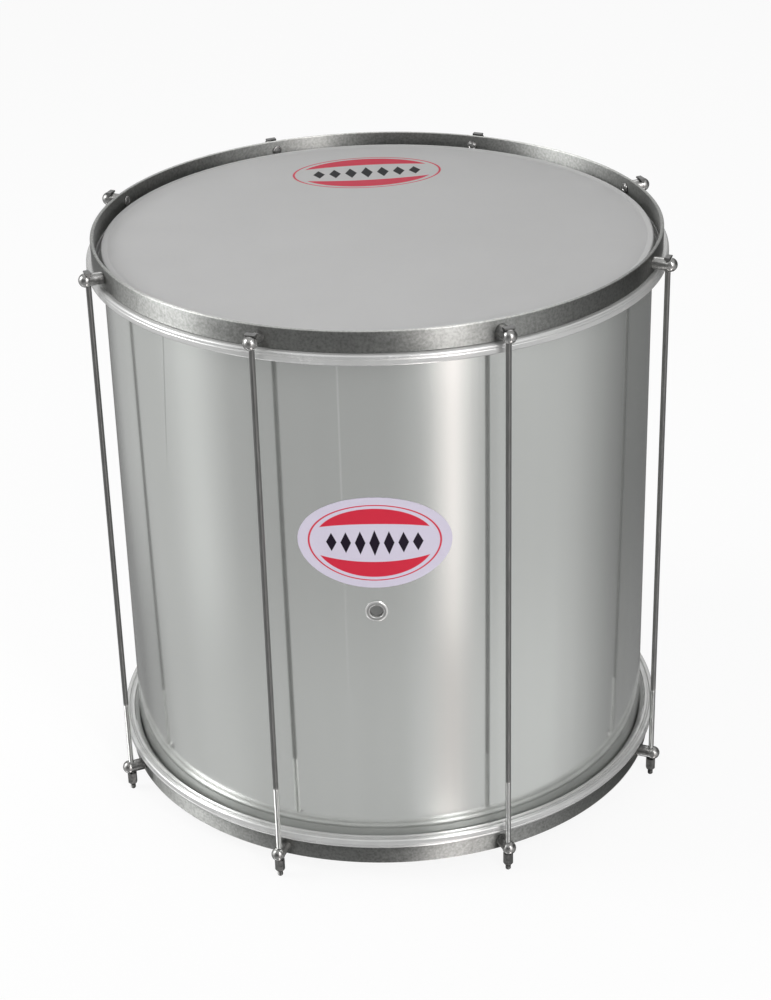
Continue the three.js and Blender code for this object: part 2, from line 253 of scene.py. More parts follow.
# Shell: a straight tube of thin aluminium sheet, smooth and almost a mirror, with a faint grain,
# one faint light line up it and one faint dark line near its top. Both edges are turned in, to
# carry the heads, and one vent is bored in the front.

shell_low, shell_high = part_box("shell")
shell_radius = shell_high.x
shell_bottom = shell_low.z
shell_top = shell_high.z
shell_wall = 0.0012
turned_edge = 0.005
edge_rounding = 0.0016
inner_rounding = 0.0004
ring_steps = 360
front_azimuth = math.radians(267.9)
vent_low, vent_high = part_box("vent_eyelet")
vent_height = (vent_low.z + vent_high.z) / 2
vent_bore = 0.012
aluminium_tint = (0.685, 0.702, 0.682)
crease_angle = 32


def new_tree(name, *inputs):
    """A Geometry Nodes tree with named inputs, and the sockets that bring them in."""
    tree = bpy.data.node_groups.new(name, "GeometryNodeTree")
    for label, kind in inputs:
        tree.interface.new_socket(label, in_out="INPUT", socket_type=f"NodeSocket{kind}")
    tree.interface.new_socket("Piece", in_out="OUTPUT", socket_type="NodeSocketGeometry")
    return tree, add(tree, "NodeGroupInput").outputs


def end_tree(tree, geometry, material):
    """Ends a tree: what it made becomes one plain mesh of one material."""
    plain = add(tree, "GeometryNodeRealizeInstances", {"Geometry": geometry})
    dressed = add(tree, "GeometryNodeSetMaterial", {
        "Geometry": plain.outputs[0],
        "Material": material,
    })
    add(tree, "NodeGroupOutput", {"Piece": dressed.outputs[0]})


def tidy(mesh, crease):
    """Closes seams and poles, turns the faces outwards and rounds the shading between creases."""
    work = bmesh.new()
    work.from_mesh(mesh)
    bmesh.ops.remove_doubles(work, verts=work.verts, dist=1e-6)
    bmesh.ops.dissolve_degenerate(work, edges=work.edges, dist=1e-7)
    bmesh.ops.recalc_face_normals(work, faces=work.faces)
    work.to_mesh(mesh)
    work.free()
    mesh.shade_smooth()
    mesh.set_sharp_from_angle(angle=math.radians(crease))


def plain_mesh(piece):
    """What a piece's modifiers make of it, as a plain mesh."""
    state = bpy.context.evaluated_depsgraph_get()
    return bpy.data.meshes.new_from_object(piece.evaluated_get(state), depsgraph=state)


def made(name, tree, values, crease=crease_angle):
    """Runs a tree with these input values and keeps what it makes as a plain mesh."""
    piece = in_scene(name, bpy.data.meshes.new(name))
    maker = piece.modifiers.new(name, "NODES")
    maker.node_group = tree
    for item in tree.interface.items_tree:
        if item.in_out == "INPUT":
            maker[item.identifier] = values[item.name]
    mesh = plain_mesh(piece)
    piece.modifiers.remove(maker)
    piece.data = mesh
    tidy(mesh, crease)
    return piece


def section(name, corners, direction=1):
    """A closed outline of (outwards, upwards, rounding) corners, for a ring to be bent from."""
    curve = bpy.data.curves.new(name, "CURVE")
    curve.dimensions = "3D"
    spline = curve.splines.new("POLY")
    spline.points.add(len(corners) - 1)
    for point, (outwards, upwards, rounding) in zip(spline.points, corners):
        point.co = (outwards, upwards * direction, 0, 1)
        point.radius = rounding
    spline.use_cyclic_u = True
    return in_scene(name, curve)


def moved(tree, geometry, x=0, y=0, z=0):
    """Moves geometry by three numbers or sockets."""
    return add(tree, "GeometryNodeTransform", {
        "Geometry": geometry,
        "Translation": add(tree, "ShaderNodeCombineXYZ", {"X": x, "Y": y, "Z": z}).outputs[0],
    }).outputs[0]


bent_ring, given = new_tree(
    "bent_ring",
    ("Section", "Object"),
    ("Radius", "Float"),
    ("Height", "Float"),
    ("Steps", "Int"),
    ("Material", "Material"),
)
outline = add(bent_ring, "GeometryNodeObjectInfo", {"Object": given["Section"]})
rounded = add(bent_ring, "GeometryNodeFilletCurve", {
    "Curve": outline.outputs["Geometry"],
    "Radius": add(bent_ring, "GeometryNodeInputRadius").outputs[0],
    "Limit Radius": True,
    "Count": 4,
}, mode="POLY")
upright = add(bent_ring, "GeometryNodeTransform", {
    "Geometry": rounded.outputs[0],
    "Scale": (1, -1, 1),
})
circle = add(bent_ring, "GeometryNodeCurvePrimitiveCircle", {
    "Resolution": given["Steps"],
    "Radius": given["Radius"],
})
bent = add(bent_ring, "GeometryNodeCurveToMesh", {
    "Curve": circle.outputs[0],
    "Profile Curve": upright.outputs[0],
})
end_tree(bent_ring, moved(bent_ring, bent.outputs[0], z=given["Height"]), given["Material"])


def ring(name, corners, radius, height, material, steps=ring_steps, direction=1):
    """Bends a section into a ring about the drum's axis."""
    outline = section(f"{name}_section", corners, direction)
    piece = made(name, bent_ring, {
        "Section": outline,
        "Radius": radius,
        "Height": height,
        "Steps": steps,
        "Material": material,
    })
    bpy.data.objects.remove(outline)
    return piece


def new_material(name, metallic):
    """A material, its tree, its shader, and the place in the drum that its patterns go by."""
    material = bpy.data.materials.new(name)
    material.use_nodes = True
    tree = material.node_tree
    shader = tree.nodes["Principled BSDF"]
    shader.inputs["Metallic"].default_value = metallic
    place = add(tree, "ShaderNodeTexCoord").outputs["Object"]
    return material, tree, shader, place


def grain(tree, place, across, along, detail=2):
    """Noise that is fine round the drum and stretched up and down it."""
    return add(tree, "ShaderNodeTexNoise", {
        "Vector": vector_calc(tree, "MULTIPLY", place, (across, across, along)),
        "Scale": 1,
        "Detail": detail,
    }).outputs[0]


def spread(tree, value, low, high):
    """Spreads a noise's middle values, where nearly all of it lies, between two others."""
    return mapped(tree, value, 0.25, 0.75, low, high)


def tinted(tree, colour, strength):
    """A colour made lighter or darker by a factor."""
    return add(tree, "ShaderNodeVectorMath", {0: colour, "Scale": strength},
               operation="SCALE").outputs[0]


def finish(tree, shader, colour, roughness):
    """Feeds a shader's colour and roughness."""
    tree.links.new(colour, shader.inputs["Base Color"])
    tree.links.new(roughness, shader.inputs["Roughness"])


def relief(tree, shader, height, strength, distance):
    """Roughens a shader's surface with a height."""
    bump = add(tree, "ShaderNodeBump", {"Height": height, "Strength": strength,
                                        "Distance": distance})
    tree.links.new(bump.outputs[0], shader.inputs["Normal"])


def brushed(tree, shader, share):
    """Blurs what a metal mirrors up and down the drum, by a share of its roughness."""
    shader.inputs["Anisotropic"].default_value = share
    upwards = add(tree, "ShaderNodeCombineXYZ", {"Z": 1})
    tree.links.new(upwards.outputs[0], shader.inputs["Tangent"])


satin_aluminium, nodes, shader, place = new_material("satin_aluminium", 0.83)
fine_grain = grain(nodes, place, 900, 3)
soft_bands = grain(nodes, place, 36, 0.8)
smudges = grain(nodes, place, 9, 5)
waviness = grain(nodes, place, 11, 2, 1)
streaks = calc(nodes, "ADD", spread(nodes, fine_grain, -0.006, 0.006),
               spread(nodes, soft_bands, -0.018, 0.018))
sheet_x, sheet_y, sheet_z = add(nodes, "ShaderNodeSeparateXYZ", {0: place}).outputs
round_place = calc(nodes, "ARCTAN2", sheet_y, sheet_x)


def faint_line_up_sheet(azimuth, lean, half_width, low, high, strength):
    """A faint line up the sheet, lighter or darker by its strength. It fades out downwards from
    high to low.
    """
    at_top = math.radians(azimuth - 360)
    below_top = calc(nodes, "SUBTRACT", sheet_z, shell_top)
    slanted = calc(nodes, "MULTIPLY_ADD", below_top, lean, at_top)
    off_line = calc(nodes, "ABSOLUTE", calc(nodes, "SUBTRACT", round_place, slanted))
    across_line = mapped(nodes, off_line, 0, half_width / shell_radius, strength, 0, smooth=True)
    return calc(nodes, "MULTIPLY", across_line, mapped(nodes, sheet_z, low, high, smooth=True))


streaks = calc(nodes, "ADD", streaks, faint_line_up_sheet(261.75, 0, 0.0016, 0.05, 0.6, 0.16))
streaks = calc(nodes, "ADD", streaks, faint_line_up_sheet(223.1, 0.26, 0.0014, 0.36, 0.45, -0.26))
shine = calc(nodes, "ADD", spread(nodes, smudges, 0.11, 0.15),
             spread(nodes, fine_grain, -0.01, 0.01))
finish(nodes, shader, tinted(nodes, aluminium_tint, calc(nodes, "ADD", 1, streaks)), shine)
brushed(nodes, shader, 0.4)
relief(nodes, shader, waviness, 0.03, 0.001)

shell_height = shell_top - shell_bottom
shell = ring("drum_shell", [
    (-turned_edge, 0, inner_rounding),
    (0, 0, edge_rounding),
    (0, shell_height, edge_rounding),
    (-turned_edge, shell_height, inner_rounding),
    (-turned_edge, shell_height - shell_wall, inner_rounding),
    (-shell_wall, shell_height - shell_wall, inner_rounding),
    (-shell_wall, shell_wall, inner_rounding),
    (-turned_edge, shell_wall, inner_rounding),
], shell_radius, shell_bottom, satin_aluminium)


def bored(piece, cutter):
    """Takes one solid out of another, and puts the cutter away."""
    cut = piece.modifiers.new("bored", "BOOLEAN")
    cut.operation = "DIFFERENCE"
    cut.solver = "EXACT"
    cut.object = cutter
    mesh = plain_mesh(piece)
    piece.modifiers.remove(cut)
    piece.data = mesh
    bpy.data.objects.remove(cutter)


def cylinder(name, radius, length, steps, place):
    """A closed cylinder about Z, put in its place by a matrix."""
    mesh = bpy.data.meshes.new(name)
    work = bmesh.new()
    bmesh.ops.create_cone(work, cap_ends=True, segments=steps, radius1=radius, radius2=radius,
                          depth=length, matrix=place)
    work.to_mesh(mesh)
    work.free()
    return in_scene(name, mesh)


eyelet_wall = 0.0008
hole_clearance = 0.0003
vent_place = (
    Matrix.Rotation(front_azimuth, 4, "Z")
    @ Matrix.Translation((shell_radius, 0, vent_height))
    @ Matrix.Rotation(math.pi / 2, 4, "Y")
)
vent_hole = cylinder("vent_hole", vent_bore / 2 + eyelet_wall + hole_clearance,
                     4 * turned_edge, 48, vent_place)
bored(shell, vent_hole)
tidy(shell.data, crease_angle)
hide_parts("shell")
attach(shell, "drum")


# Vent eyelet: a pressed metal ring with a rolled flange outside the shell, and a plain washer
# inside it, over which the ring's other end is rolled.

eyelet_flange = 0.0034
eyelet_height = 0.0011
eyelet_lip = 0.0016
washer_width = 0.0024
washer_height = 0.001
seat_gap = 0.0003
rolled_end = 0.0007
flange_edge = 0.0007
flange_dome = 0.0018
mouth_width = 0.0009
painted_edge_highlight_start = 0.0023
painted_edge_highlight_end = 0.0028
eyelet_tint = (1, 1, 0.985)

pressed_metal, nodes, shader, place = new_material("pressed_eyelet", 0.6)
wear = grain(nodes, place, 300, 300, 3)
outwards = (math.cos(front_azimuth), math.sin(front_azimuth), 0)
off_middle = vector_calc(nodes, "SUBTRACT", place, (0, 0, vent_height))
off_middle = vector_calc(nodes, "LENGTH", vector_calc(nodes, "CROSS_PRODUCT", off_middle, outwards))
mouth = vent_bore / 2 + mouth_width
# Painted highlights: the lip round the bore and the flange's outer edge are painted lighter than
# the flat of the ring.
tone_with_painted_highlights = mapped(nodes, off_middle, mouth, mouth + 0.0003, 0.62, 0.36)
tone_with_painted_highlights = calc(nodes, "ADD", tone_with_painted_highlights, mapped(nodes, off_middle, vent_bore / 2 + painted_edge_highlight_start,
                                       vent_bore / 2 + painted_edge_highlight_end, 0, 0.4))
tone_with_painted_highlights = calc(nodes, "MULTIPLY", tone_with_painted_highlights, spread(nodes, wear, 0.94, 1.05))
finish(nodes, shader, tinted(nodes, eyelet_tint, tone_with_painted_highlights), spread(nodes, wear, 0.17, 0.24))

barrel = vent_bore / 2 + eyelet_wall
inside = -shell_wall - 2 * seat_gap - washer_height
eyelet = ring("eyelet", [
    (0, inside - rolled_end, 0.0003),
    (eyelet_wall + eyelet_lip, inside - rolled_end, 0.0003),
    (eyelet_wall + eyelet_lip, inside, 0.0003),
    (eyelet_wall, inside, 0.0002),
    (eyelet_wall, seat_gap, 0.0002),
    (eyelet_wall + eyelet_flange, seat_gap, 0.0001),
    (eyelet_wall + eyelet_flange, seat_gap + 0.3 * eyelet_height, 0.0003),
    (eyelet_wall + eyelet_flange - flange_edge, seat_gap + 0.8 * eyelet_height, 0.0006),
    (eyelet_wall + eyelet_flange - flange_dome, seat_gap + eyelet_height, 0.001),
    (0.0004, seat_gap + 0.95 * eyelet_height, 0.0006),
    (0, seat_gap + 0.4 * eyelet_height, 0.0003),
], vent_bore / 2, 0, pressed_metal, steps=64)
eyelet.data.transform(vent_place)
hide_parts("vent_eyelet")
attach(eyelet, "drum")

washer = ring("eyelet_washer", [
    (0, 0, 0.0001),
    (washer_width, 0, 0.0003),
    (washer_width, washer_height, 0.0003),
    (0, washer_height, 0.0001),
], barrel + seat_gap, -shell_wall - seat_gap - washer_height, pressed_metal, steps=64)
washer.data.transform(vent_place)
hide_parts("vent_eyelet_washer")
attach(washer, "drum")


# Label: an oval of printed film, stuck to the shell above the vent. It follows the shell's curve.
# Its print is a row of lozenges between two crescents, inside a thin border.

label_low, label_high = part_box("front_label")
label_width = 0.134
label_height = label_high.z - label_low.z
label_middle = (label_low.z + label_high.z) / 2
label_stand_off = 0.0003
label_thickness = 0.0002
label_rings = 24
label_steps = 120
paper_tint = (0.72, 0.67, 0.80)
label_red = (0.7, 0.022, 0.055, 1)
label_black = (0.008, 0.002, 0.014, 1)


def oval(tree, x, y, half_width, half_height):
    """How far a point lies out from the middle of an oval: 1 is on its line."""
    over = calc(tree, "DIVIDE", x, half_width)
    up = calc(tree, "DIVIDE", y, half_height)
    return calc(tree, "SQRT", calc(tree, "ADD", calc(tree, "POWER", over, 2),
                                   calc(tree, "POWER", up, 2)))


def inside_of(tree, value, limit, softness):
    """1 where a value is below a limit and 0 above it, with a soft edge."""
    return mapped(tree, value, limit - softness, limit + softness, 1, 0)


# The print, drawn once in millimetres from its middle, for the label and for the upper head
print_half_width = 58
print_half_height = 37
lozenge_pitch = 12.5
lozenge_half_width = 4.6
lozenge_count = 7
border_inside = 0.972
crescent_outside = 0.9
lens_width = 1.22
lens_height = 0.5
row_height = 0.34
row_taper = 0.45

emblem = bpy.data.node_groups.new("printed_emblem", "ShaderNodeTree")
emblem.interface.new_socket("Place", in_out="INPUT", socket_type="NodeSocketVector")
emblem.interface.new_socket("Red", in_out="OUTPUT", socket_type="NodeSocketFloat")
emblem.interface.new_socket("Dark", in_out="OUTPUT", socket_type="NodeSocketFloat")
drawn = add(emblem, "ShaderNodeSeparateXYZ", {0: add(emblem, "NodeGroupInput").outputs[0]}).outputs
across, upwards = drawn[0], drawn[1]
border_place = oval(emblem, across, upwards, print_half_width, print_half_height)
border = calc(emblem, "MULTIPLY", inside_of(emblem, border_place, 1.0, 0.006),
              calc(emblem, "SUBTRACT", 1, inside_of(emblem, border_place, border_inside, 0.006)))
lens_place = oval(emblem, across, upwards, print_half_width * lens_width,
                  print_half_height * lens_height)
crescents = calc(emblem, "MULTIPLY", inside_of(emblem, border_place, crescent_outside, 0.006),
                 calc(emblem, "SUBTRACT", 1, inside_of(emblem, lens_place, 1.0, 0.01)))
red = calc(emblem, "MAXIMUM", border, crescents)
step_place = calc(emblem, "ABSOLUTE", calc(emblem, "WRAP", across, lozenge_pitch / 2,
                                           -lozenge_pitch / 2))
row_half_height = calc(emblem, "MULTIPLY", print_half_height * row_height, calc(
    emblem, "SUBTRACT", 1, calc(emblem, "MULTIPLY", calc(
        emblem, "DIVIDE", calc(emblem, "ABSOLUTE", across), print_half_width), row_taper)))
lozenge = calc(emblem, "ADD", calc(emblem, "DIVIDE", step_place, lozenge_half_width),
               calc(emblem, "DIVIDE", calc(emblem, "ABSOLUTE", upwards), row_half_height))
row_end = inside_of(emblem, calc(emblem, "ABSOLUTE", across),
                    lozenge_count * lozenge_pitch / 2, 0.3)
dark = calc(emblem, "MULTIPLY", inside_of(emblem, lozenge, 1.0, 0.04), row_end)
add(emblem, "NodeGroupOutput", {"Red": red, "Dark": dark})


def printed(tree, place, ground, red_ink, dark_ink):
    """The print's colours over the colour of what it is printed on."""
    drawing = add(tree, "ShaderNodeGroup", {"Place": place}, node_tree=emblem).outputs
    with_red = mixed(tree, drawing["Red"], ground, red_ink, "RGBA")
    return mixed(tree, drawing["Dark"], with_red, dark_ink, "RGBA")


label_film, nodes, shader, place = new_material("printed_label", 0)
label_place = add(nodes, "ShaderNodeUVMap", uv_map="print").outputs[0]
in_millimetres = vector_calc(nodes, "MULTIPLY", label_place, (1000, 1000, 1000))
paper_tooth = grain(nodes, place, 700, 700, 3)
label_ground = tinted(nodes, paper_tint, spread(nodes, paper_tooth, 0.985, 1.015))
nodes.links.new(printed(nodes, in_millimetres, label_ground, label_red, label_black),
                shader.inputs["Base Color"])
shader.inputs["Roughness"].default_value = 0.36
shader.inputs["Specular IOR Level"].default_value = 0.25
relief(nodes, shader, paper_tooth, 0.04, 0.0001)

label_mesh = bpy.data.meshes.new("label")
work = bmesh.new()
print_layer = work.loops.layers.uv.new("print")
flat_places = {}


def label_corner(across, upwards, outwards):
    """A corner of the label, bent round the shell."""
    distance = shell_radius + label_stand_off + outwards
    azimuth = front_azimuth + math.asin(across / shell_radius)
    corner = work.verts.new((distance * math.cos(azimuth), distance * math.sin(azimuth),
                             label_middle + upwards))
    flat_places[corner] = (across, upwards)
    return corner


def label_sheet(outwards):
    """One face of the label: rings of corners round a middle one."""
    rings = []
    for ring_number in range(1, label_rings + 1):
        share = ring_number / label_rings
        turns = [2 * math.pi * step / label_steps for step in range(label_steps)]
        rings.append([label_corner(share * label_width / 2 * math.cos(turn),
                                   share * label_height / 2 * math.sin(turn), outwards)
                      for turn in turns])
    middle = label_corner(0, 0, outwards)
    for step in range(label_steps):
        after = (step + 1) % label_steps
        work.faces.new((middle, rings[0][step], rings[0][after]))
        for inner, outer in zip(rings, rings[1:]):
            work.faces.new((inner[step], outer[step], outer[after], inner[after]))
    return rings[-1]


front_edge = label_sheet(label_thickness)
back_edge = label_sheet(0)
for step in range(label_steps):
    after = (step + 1) % label_steps
    work.faces.new((front_edge[step], back_edge[step], back_edge[after], front_edge[after]))
for face in work.faces:
    for corner in face.loops:
        corner[print_layer].uv = flat_places[corner.vert]
work.to_mesh(label_mesh)
work.free()
tidy(label_mesh, crease_angle)
label_mesh.materials.append(label_film)
label = in_scene("label", label_mesh)
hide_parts("front_label")
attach(label, "drum")


# Heads: a film of milky plastic at each end, folded over the shell's edge and flared as a shinier
# collar into its flesh hoop. It is darker where it lies on the shell. The upper one carries the
# same print as the label, wider and thinner.

film_thickness = 0.00025
film_fold = 0.0018
flesh_hoop_stand_off = 0.0054
flesh_hoop_width = 0.0091
flesh_hoop_height = 0.0093
draw_down = 0.008
mark_middle = (-0.0084, 0.167)
mark_turn = math.radians(-4.7)
mark_half_width = 73.5
mark_half_height = 45.5
collar_bend = 0.005
flare_start_share = 0.35
flare_end_share = 0.8
shade_over_shell = 0.28
light_let_through = 0.48
collar_shine = 0.35
film_tint = (0.752, 0.752, 0.75)
head_red = (0.8, 0.07, 0.13, 1)
head_black = (0.008, 0.01, 0.012, 1)


def out_from_axis(tree, place):
    """How far a point lies from the drum's axis."""
    return vector_calc(tree, "LENGTH", vector_calc(tree, "MULTIPLY", place, (1, 1, 0)))


milky_film, nodes, shader, place = new_material("milky_film", 0)
clouding = grain(nodes, place, 14, 14, 4)
tooth = grain(nodes, place, 900, 900, 2)
film_ground = tinted(nodes, film_tint, spread(nodes, clouding, 0.985, 1.015))
out_from_middle = out_from_axis(nodes, place)
edge_radius = shell_radius - turned_edge
over_shell = mapped(nodes, out_from_middle, edge_radius - 0.002, edge_radius + 0.001, smooth=True)
film_ground = tinted(nodes, film_ground, calc(
    nodes, "SUBTRACT", 1, calc(nodes, "MULTIPLY", over_shell, shade_over_shell)))
on_collar = mapped(nodes, out_from_middle, shell_radius - 0.001, shell_radius + 0.0004, smooth=True)
nodes.links.new(calc(nodes, "MULTIPLY", on_collar, collar_shine), shader.inputs["Metallic"])
mark_place = vector_calc(nodes, "SUBTRACT", place, (*mark_middle, 0))
mark_place = add(nodes, "ShaderNodeVectorRotate", {
    "Vector": mark_place,
    "Angle": mark_turn,
}, rotation_type="Z_AXIS").outputs[0]
mark_scale = (1000 * print_half_width / mark_half_width,
              1000 * print_half_height / mark_half_height, 0)
mark_place = vector_calc(nodes, "MULTIPLY", mark_place, mark_scale)
height = add(nodes, "ShaderNodeSeparateXYZ", {0: place}).outputs[2]
outer_face = calc(nodes, "GREATER_THAN", height, shell_top)
with_mark = printed(nodes, mark_place, film_ground, head_red, head_black)
ink = mixed(nodes, outer_face, film_ground, with_mark, "RGBA")
finish(nodes, shader, ink, calc(nodes, "MULTIPLY_ADD", on_collar, -0.1,
                                spread(nodes, clouding, 0.4, 0.46)))
light_through = add(nodes, "ShaderNodeBsdfTranslucent", {"Color": ink})
milky = add(nodes, "ShaderNodeMixShader", {
    0: calc(nodes, "MULTIPLY", calc(nodes, "SUBTRACT", 1, over_shell), light_let_through),
    1: shader.outputs[0],
    2: light_through.outputs[0],
})
nodes.links.new(milky.outputs[0], nodes.nodes["Material Output"].inputs["Surface"])
shader.inputs["Specular IOR Level"].default_value = 0.35
relief(nodes, shader, tooth, 0.06, 0.0001)

hoop_top = -draw_down - seat_gap
flare_start = hoop_top - flare_start_share * flesh_hoop_height
flare_end = hoop_top - flare_end_share * flesh_hoop_height
flare = flesh_hoop_stand_off - seat_gap
film_face = seat_gap + film_thickness
heads = (("batter", "top", shell_top, 1), ("resonant", "bottom", shell_bottom, -1))
for head, side, edge, direction in heads:
    film = ring(f"{head}_head", [
        (-shell_radius, seat_gap, 0),
        (seat_gap, seat_gap, film_fold - film_thickness),
        (seat_gap, flare_start, collar_bend + film_thickness),
        (flare - film_thickness, flare_end, 0),
        (flare, flare_end, 0),
        (film_face, flare_start, collar_bend),
        (film_face, film_face, film_fold),
        (-shell_radius, film_face, 0),
    ], shell_radius, edge, milky_film, direction=direction)
    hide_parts(f"{head}_film")
    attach(film, "drum")


# Flesh hoops: extruded aluminium bent to a ring, which grips the film's edge. Each has a rounded
# outer face with one groove, and a channel between two ridges on the underside.

hoop_tint = (0.66, 0.662, 0.655)
bright_aluminium, nodes, shader, place = new_material("bright_aluminium", 0.45)
rub = grain(nodes, place, 40, 40, 4)
drawn_lines = grain(nodes, place, 6, 2500, 2)
finish(nodes, shader, tinted(nodes, hoop_tint, spread(nodes, rub, 0.93, 1.05)),
       calc(nodes, "ADD", spread(nodes, rub, 0.2, 0.28),
            spread(nodes, drawn_lines, -0.03, 0.03)))
relief(nodes, shader, drawn_lines, 0.1, 0.0001)

# The hoop's section, with the drum's axis on the left and the rim above: shares of its width and
# height, and of the rounding of its corners
hoop_section_shares = [
    (0, 0.08, 1),
    (0.06, 0, 1),
    (0.32, 0, 1),
    (0.38, 0.22, 0.6),
    (0.52, 0.22, 1),
    (0.62, 0.01, 1.4),
    (0.9, 0.01, 1.4),
    (1, 0.12, 1.4),
    (1, 0.54, 1.6),
    (0.95, 0.61, 0.6),
    (0.99, 0.68, 1),
    (0.96, 0.88, 3),
    (0.8, 1, 2),
    (0, 1, 1),
]
hoop_rounding = 0.0005
for head, side, edge, direction in heads:
    hoop_corners = [
        (out * flesh_hoop_width, hoop_top + (up - 1) * flesh_hoop_height, bend * hoop_rounding)
        for out, up, bend in hoop_section_shares
    ]
    hoop = ring(f"{head}_hoop", hoop_corners, shell_radius + flesh_hoop_stand_off, edge,
                bright_aluminium, direction=direction)
    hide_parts(f"{head}_flesh_hoop")
    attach(hoop, "drum")


# Counterhoops: flat steel bar on edge, bent to a ring, butt-welded and zinc-plated. Their rims are
# lighter, partly from wear and partly a painted highlight. They pull the heads down over the shell.

hoop_bar_stand_off = 0.0061
hoop_bar_thickness = 0.0032
hoop_bar_height = 0.019
hoop_bar_rounding = 0.0005
lighter_rim_start = 0.0008
lighter_rim_end = 0.0002
lighter_rim_gain = 1.7
rim_above_edge = hoop_bar_height - draw_down
zinc_tint = (0.306, 0.31, 0.3)

zinced_steel, nodes, shader, place = new_material("zinced_steel", 1)
spangle = grain(nodes, place, 420, 420, 5)
patches = grain(nodes, place, 30, 45, 3)
specks = grain(nodes, place, 900, 900, 2)
tone = calc(nodes, "MULTIPLY", spread(nodes, spangle, 0.68, 1.3),
            spread(nodes, patches, 0.88, 1.1))
speck = mapped(nodes, specks, 0.2, 0.34, 0.6, 1)
bar_height = add(nodes, "ShaderNodeSeparateXYZ", {0: place}).outputs[2]
off_mid_height = calc(nodes, "ABSOLUTE", calc(nodes, "SUBTRACT", bar_height,
                                              (shell_top + shell_bottom) / 2))
rim_off_mid = (shell_top - shell_bottom) / 2 + rim_above_edge
# Partly wear, partly a painted highlight: each bar's base colour is lighter along its rim.
rim_wear_and_highlight = mapped(nodes, off_mid_height, rim_off_mid - lighter_rim_start,
                  rim_off_mid - lighter_rim_end, 1, lighter_rim_gain)
tone = calc(nodes, "MULTIPLY", calc(nodes, "MULTIPLY", tone, rim_wear_and_highlight), speck)
finish(nodes, shader, tinted(nodes, zinc_tint, tone),
       calc(nodes, "ADD", spread(nodes, spangle, 0.42, 0.54), spread(nodes, patches, -0.03, 0.05)))
brushed(nodes, shader, 0.97)
relief(nodes, shader, spangle, 0.12, 0.0002)

for head, side, edge, direction in heads:
    bar = ring(f"{side}_hoop_bar", [
        (0, -draw_down, hoop_bar_rounding),
        (hoop_bar_thickness, -draw_down, hoop_bar_rounding),
        (hoop_bar_thickness, rim_above_edge, hoop_bar_rounding),
        (0, rim_above_edge, hoop_bar_rounding),
    ], shell_radius + hoop_bar_stand_off, edge, zinced_steel, direction=direction)
    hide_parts(f"{side}_counterhoop")
    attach(bar, "drum")


# Posts: turned steel pins, riveted through the counterhoops. Each has a ball end and a cross hole
# for its rod, and the upper ones a slot across the hole, in which the rod's head lies.

post_count = 8
first_azimuth = math.pi / post_count
post_radius = 0.00575
ball_radius = 0.0064
rod_circle = 0.277
rod_radius = 0.0025
rod_clearance = 0.0003
post_past_rod = 0.0086
shank_radius = 0.003
rivet_radius = 0.00475
rivet_height = 0.0012
rivet_ring_radius = 0.0031
rivet_ring_width = 0.0004
rivet_ring_depth = 0.0003
rivet_crown = 0.0001
rivet_bevel = 0.0003
rivet_edge = 0.0004
post_bevel = 0.0006
flats_per_post = 7
tool_pitch = 0.00035
post_tint = (0.32, 0.318, 0.312)
post_steps = 64
post_azimuths = [first_azimuth + 2 * math.pi * number / post_count for number in range(post_count)]

turned_steel, nodes, shader, place = new_material("turned_steel", 0.8)
wear = grain(nodes, place, 200, 200, 3)
tool_marks = calc(nodes, "SINE", calc(nodes, "MULTIPLY", out_from_axis(nodes, place),
                                      2 * math.pi / tool_pitch))
finish(nodes, shader, tinted(nodes, post_tint, spread(nodes, wear, 0.62, 1.35)),
       spread(nodes, wear, 0.18, 0.28))
relief(nodes, shader, tool_marks, 0.06, 0.00005)

# The solid model's hoops have flats, and each post is seated on the middle of one
bar_face = (shell_radius + hoop_bar_stand_off + hoop_bar_thickness) * math.cos(
    math.pi / (post_count * flats_per_post))
rod_out = rod_circle - bar_face
post_length = rod_out + post_past_rod
ball_middle = post_length - ball_radius
ball_start = math.asin(post_radius / ball_radius)
rivet_base = -hoop_bar_thickness
shoulder_base = 0.0001

# The post's outline, from the rivet's middle to the tip of the ball: radius, along, rounding
rivet_face = rivet_base - rivet_height
post_line = [
    (0, rivet_face, 0),
    (rivet_ring_radius - rivet_ring_width, rivet_face, 0),
    (rivet_ring_radius, rivet_face + rivet_ring_depth, 0),
    (rivet_ring_radius + rivet_ring_width, rivet_face, 0),
    (rivet_radius - rivet_bevel, rivet_face + rivet_crown, rivet_bevel),
    (rivet_radius, rivet_base - rivet_edge, 0),
    (rivet_radius, rivet_base, 0),
    (shank_radius, rivet_base, 0),
    (shank_radius, shoulder_base, 0),
    (post_radius - post_bevel, shoulder_base, 0),
    (post_radius, shoulder_base + post_bevel, 0.0002),
]
ball_steps = 20
for step in range(ball_steps + 1):
    turn = ball_start + step / ball_steps * (math.pi - ball_start)
    reach = ball_radius * math.sin(turn) if step < ball_steps else 0
    post_line.append((reach, ball_middle - ball_radius * math.cos(turn), 0))


def post_blank(name):
    """A post turned about X, with its hoop's outer face at 0 and its rod's hole bored."""
    corners = [(radius - shank_radius, along, rounding) for radius, along, rounding in post_line]
    blank = ring(name, corners, shank_radius, 0, turned_steel, steps=post_steps)
    blank.data.transform(Matrix.Rotation(math.pi / 2, 4, "Y"))
    hole = cylinder("rod_hole", rod_radius + rod_clearance, 4 * ball_radius, 32,
                    Matrix.Translation((rod_out, 0, 0)))
    bored(blank, hole)
    return blank


head_half_width = 0.0027
head_crown = 0.0013
head_length = 0.0096
head_proud = 0.0011
wedge_angle = math.radians(42)
head_rounding = 0.0004


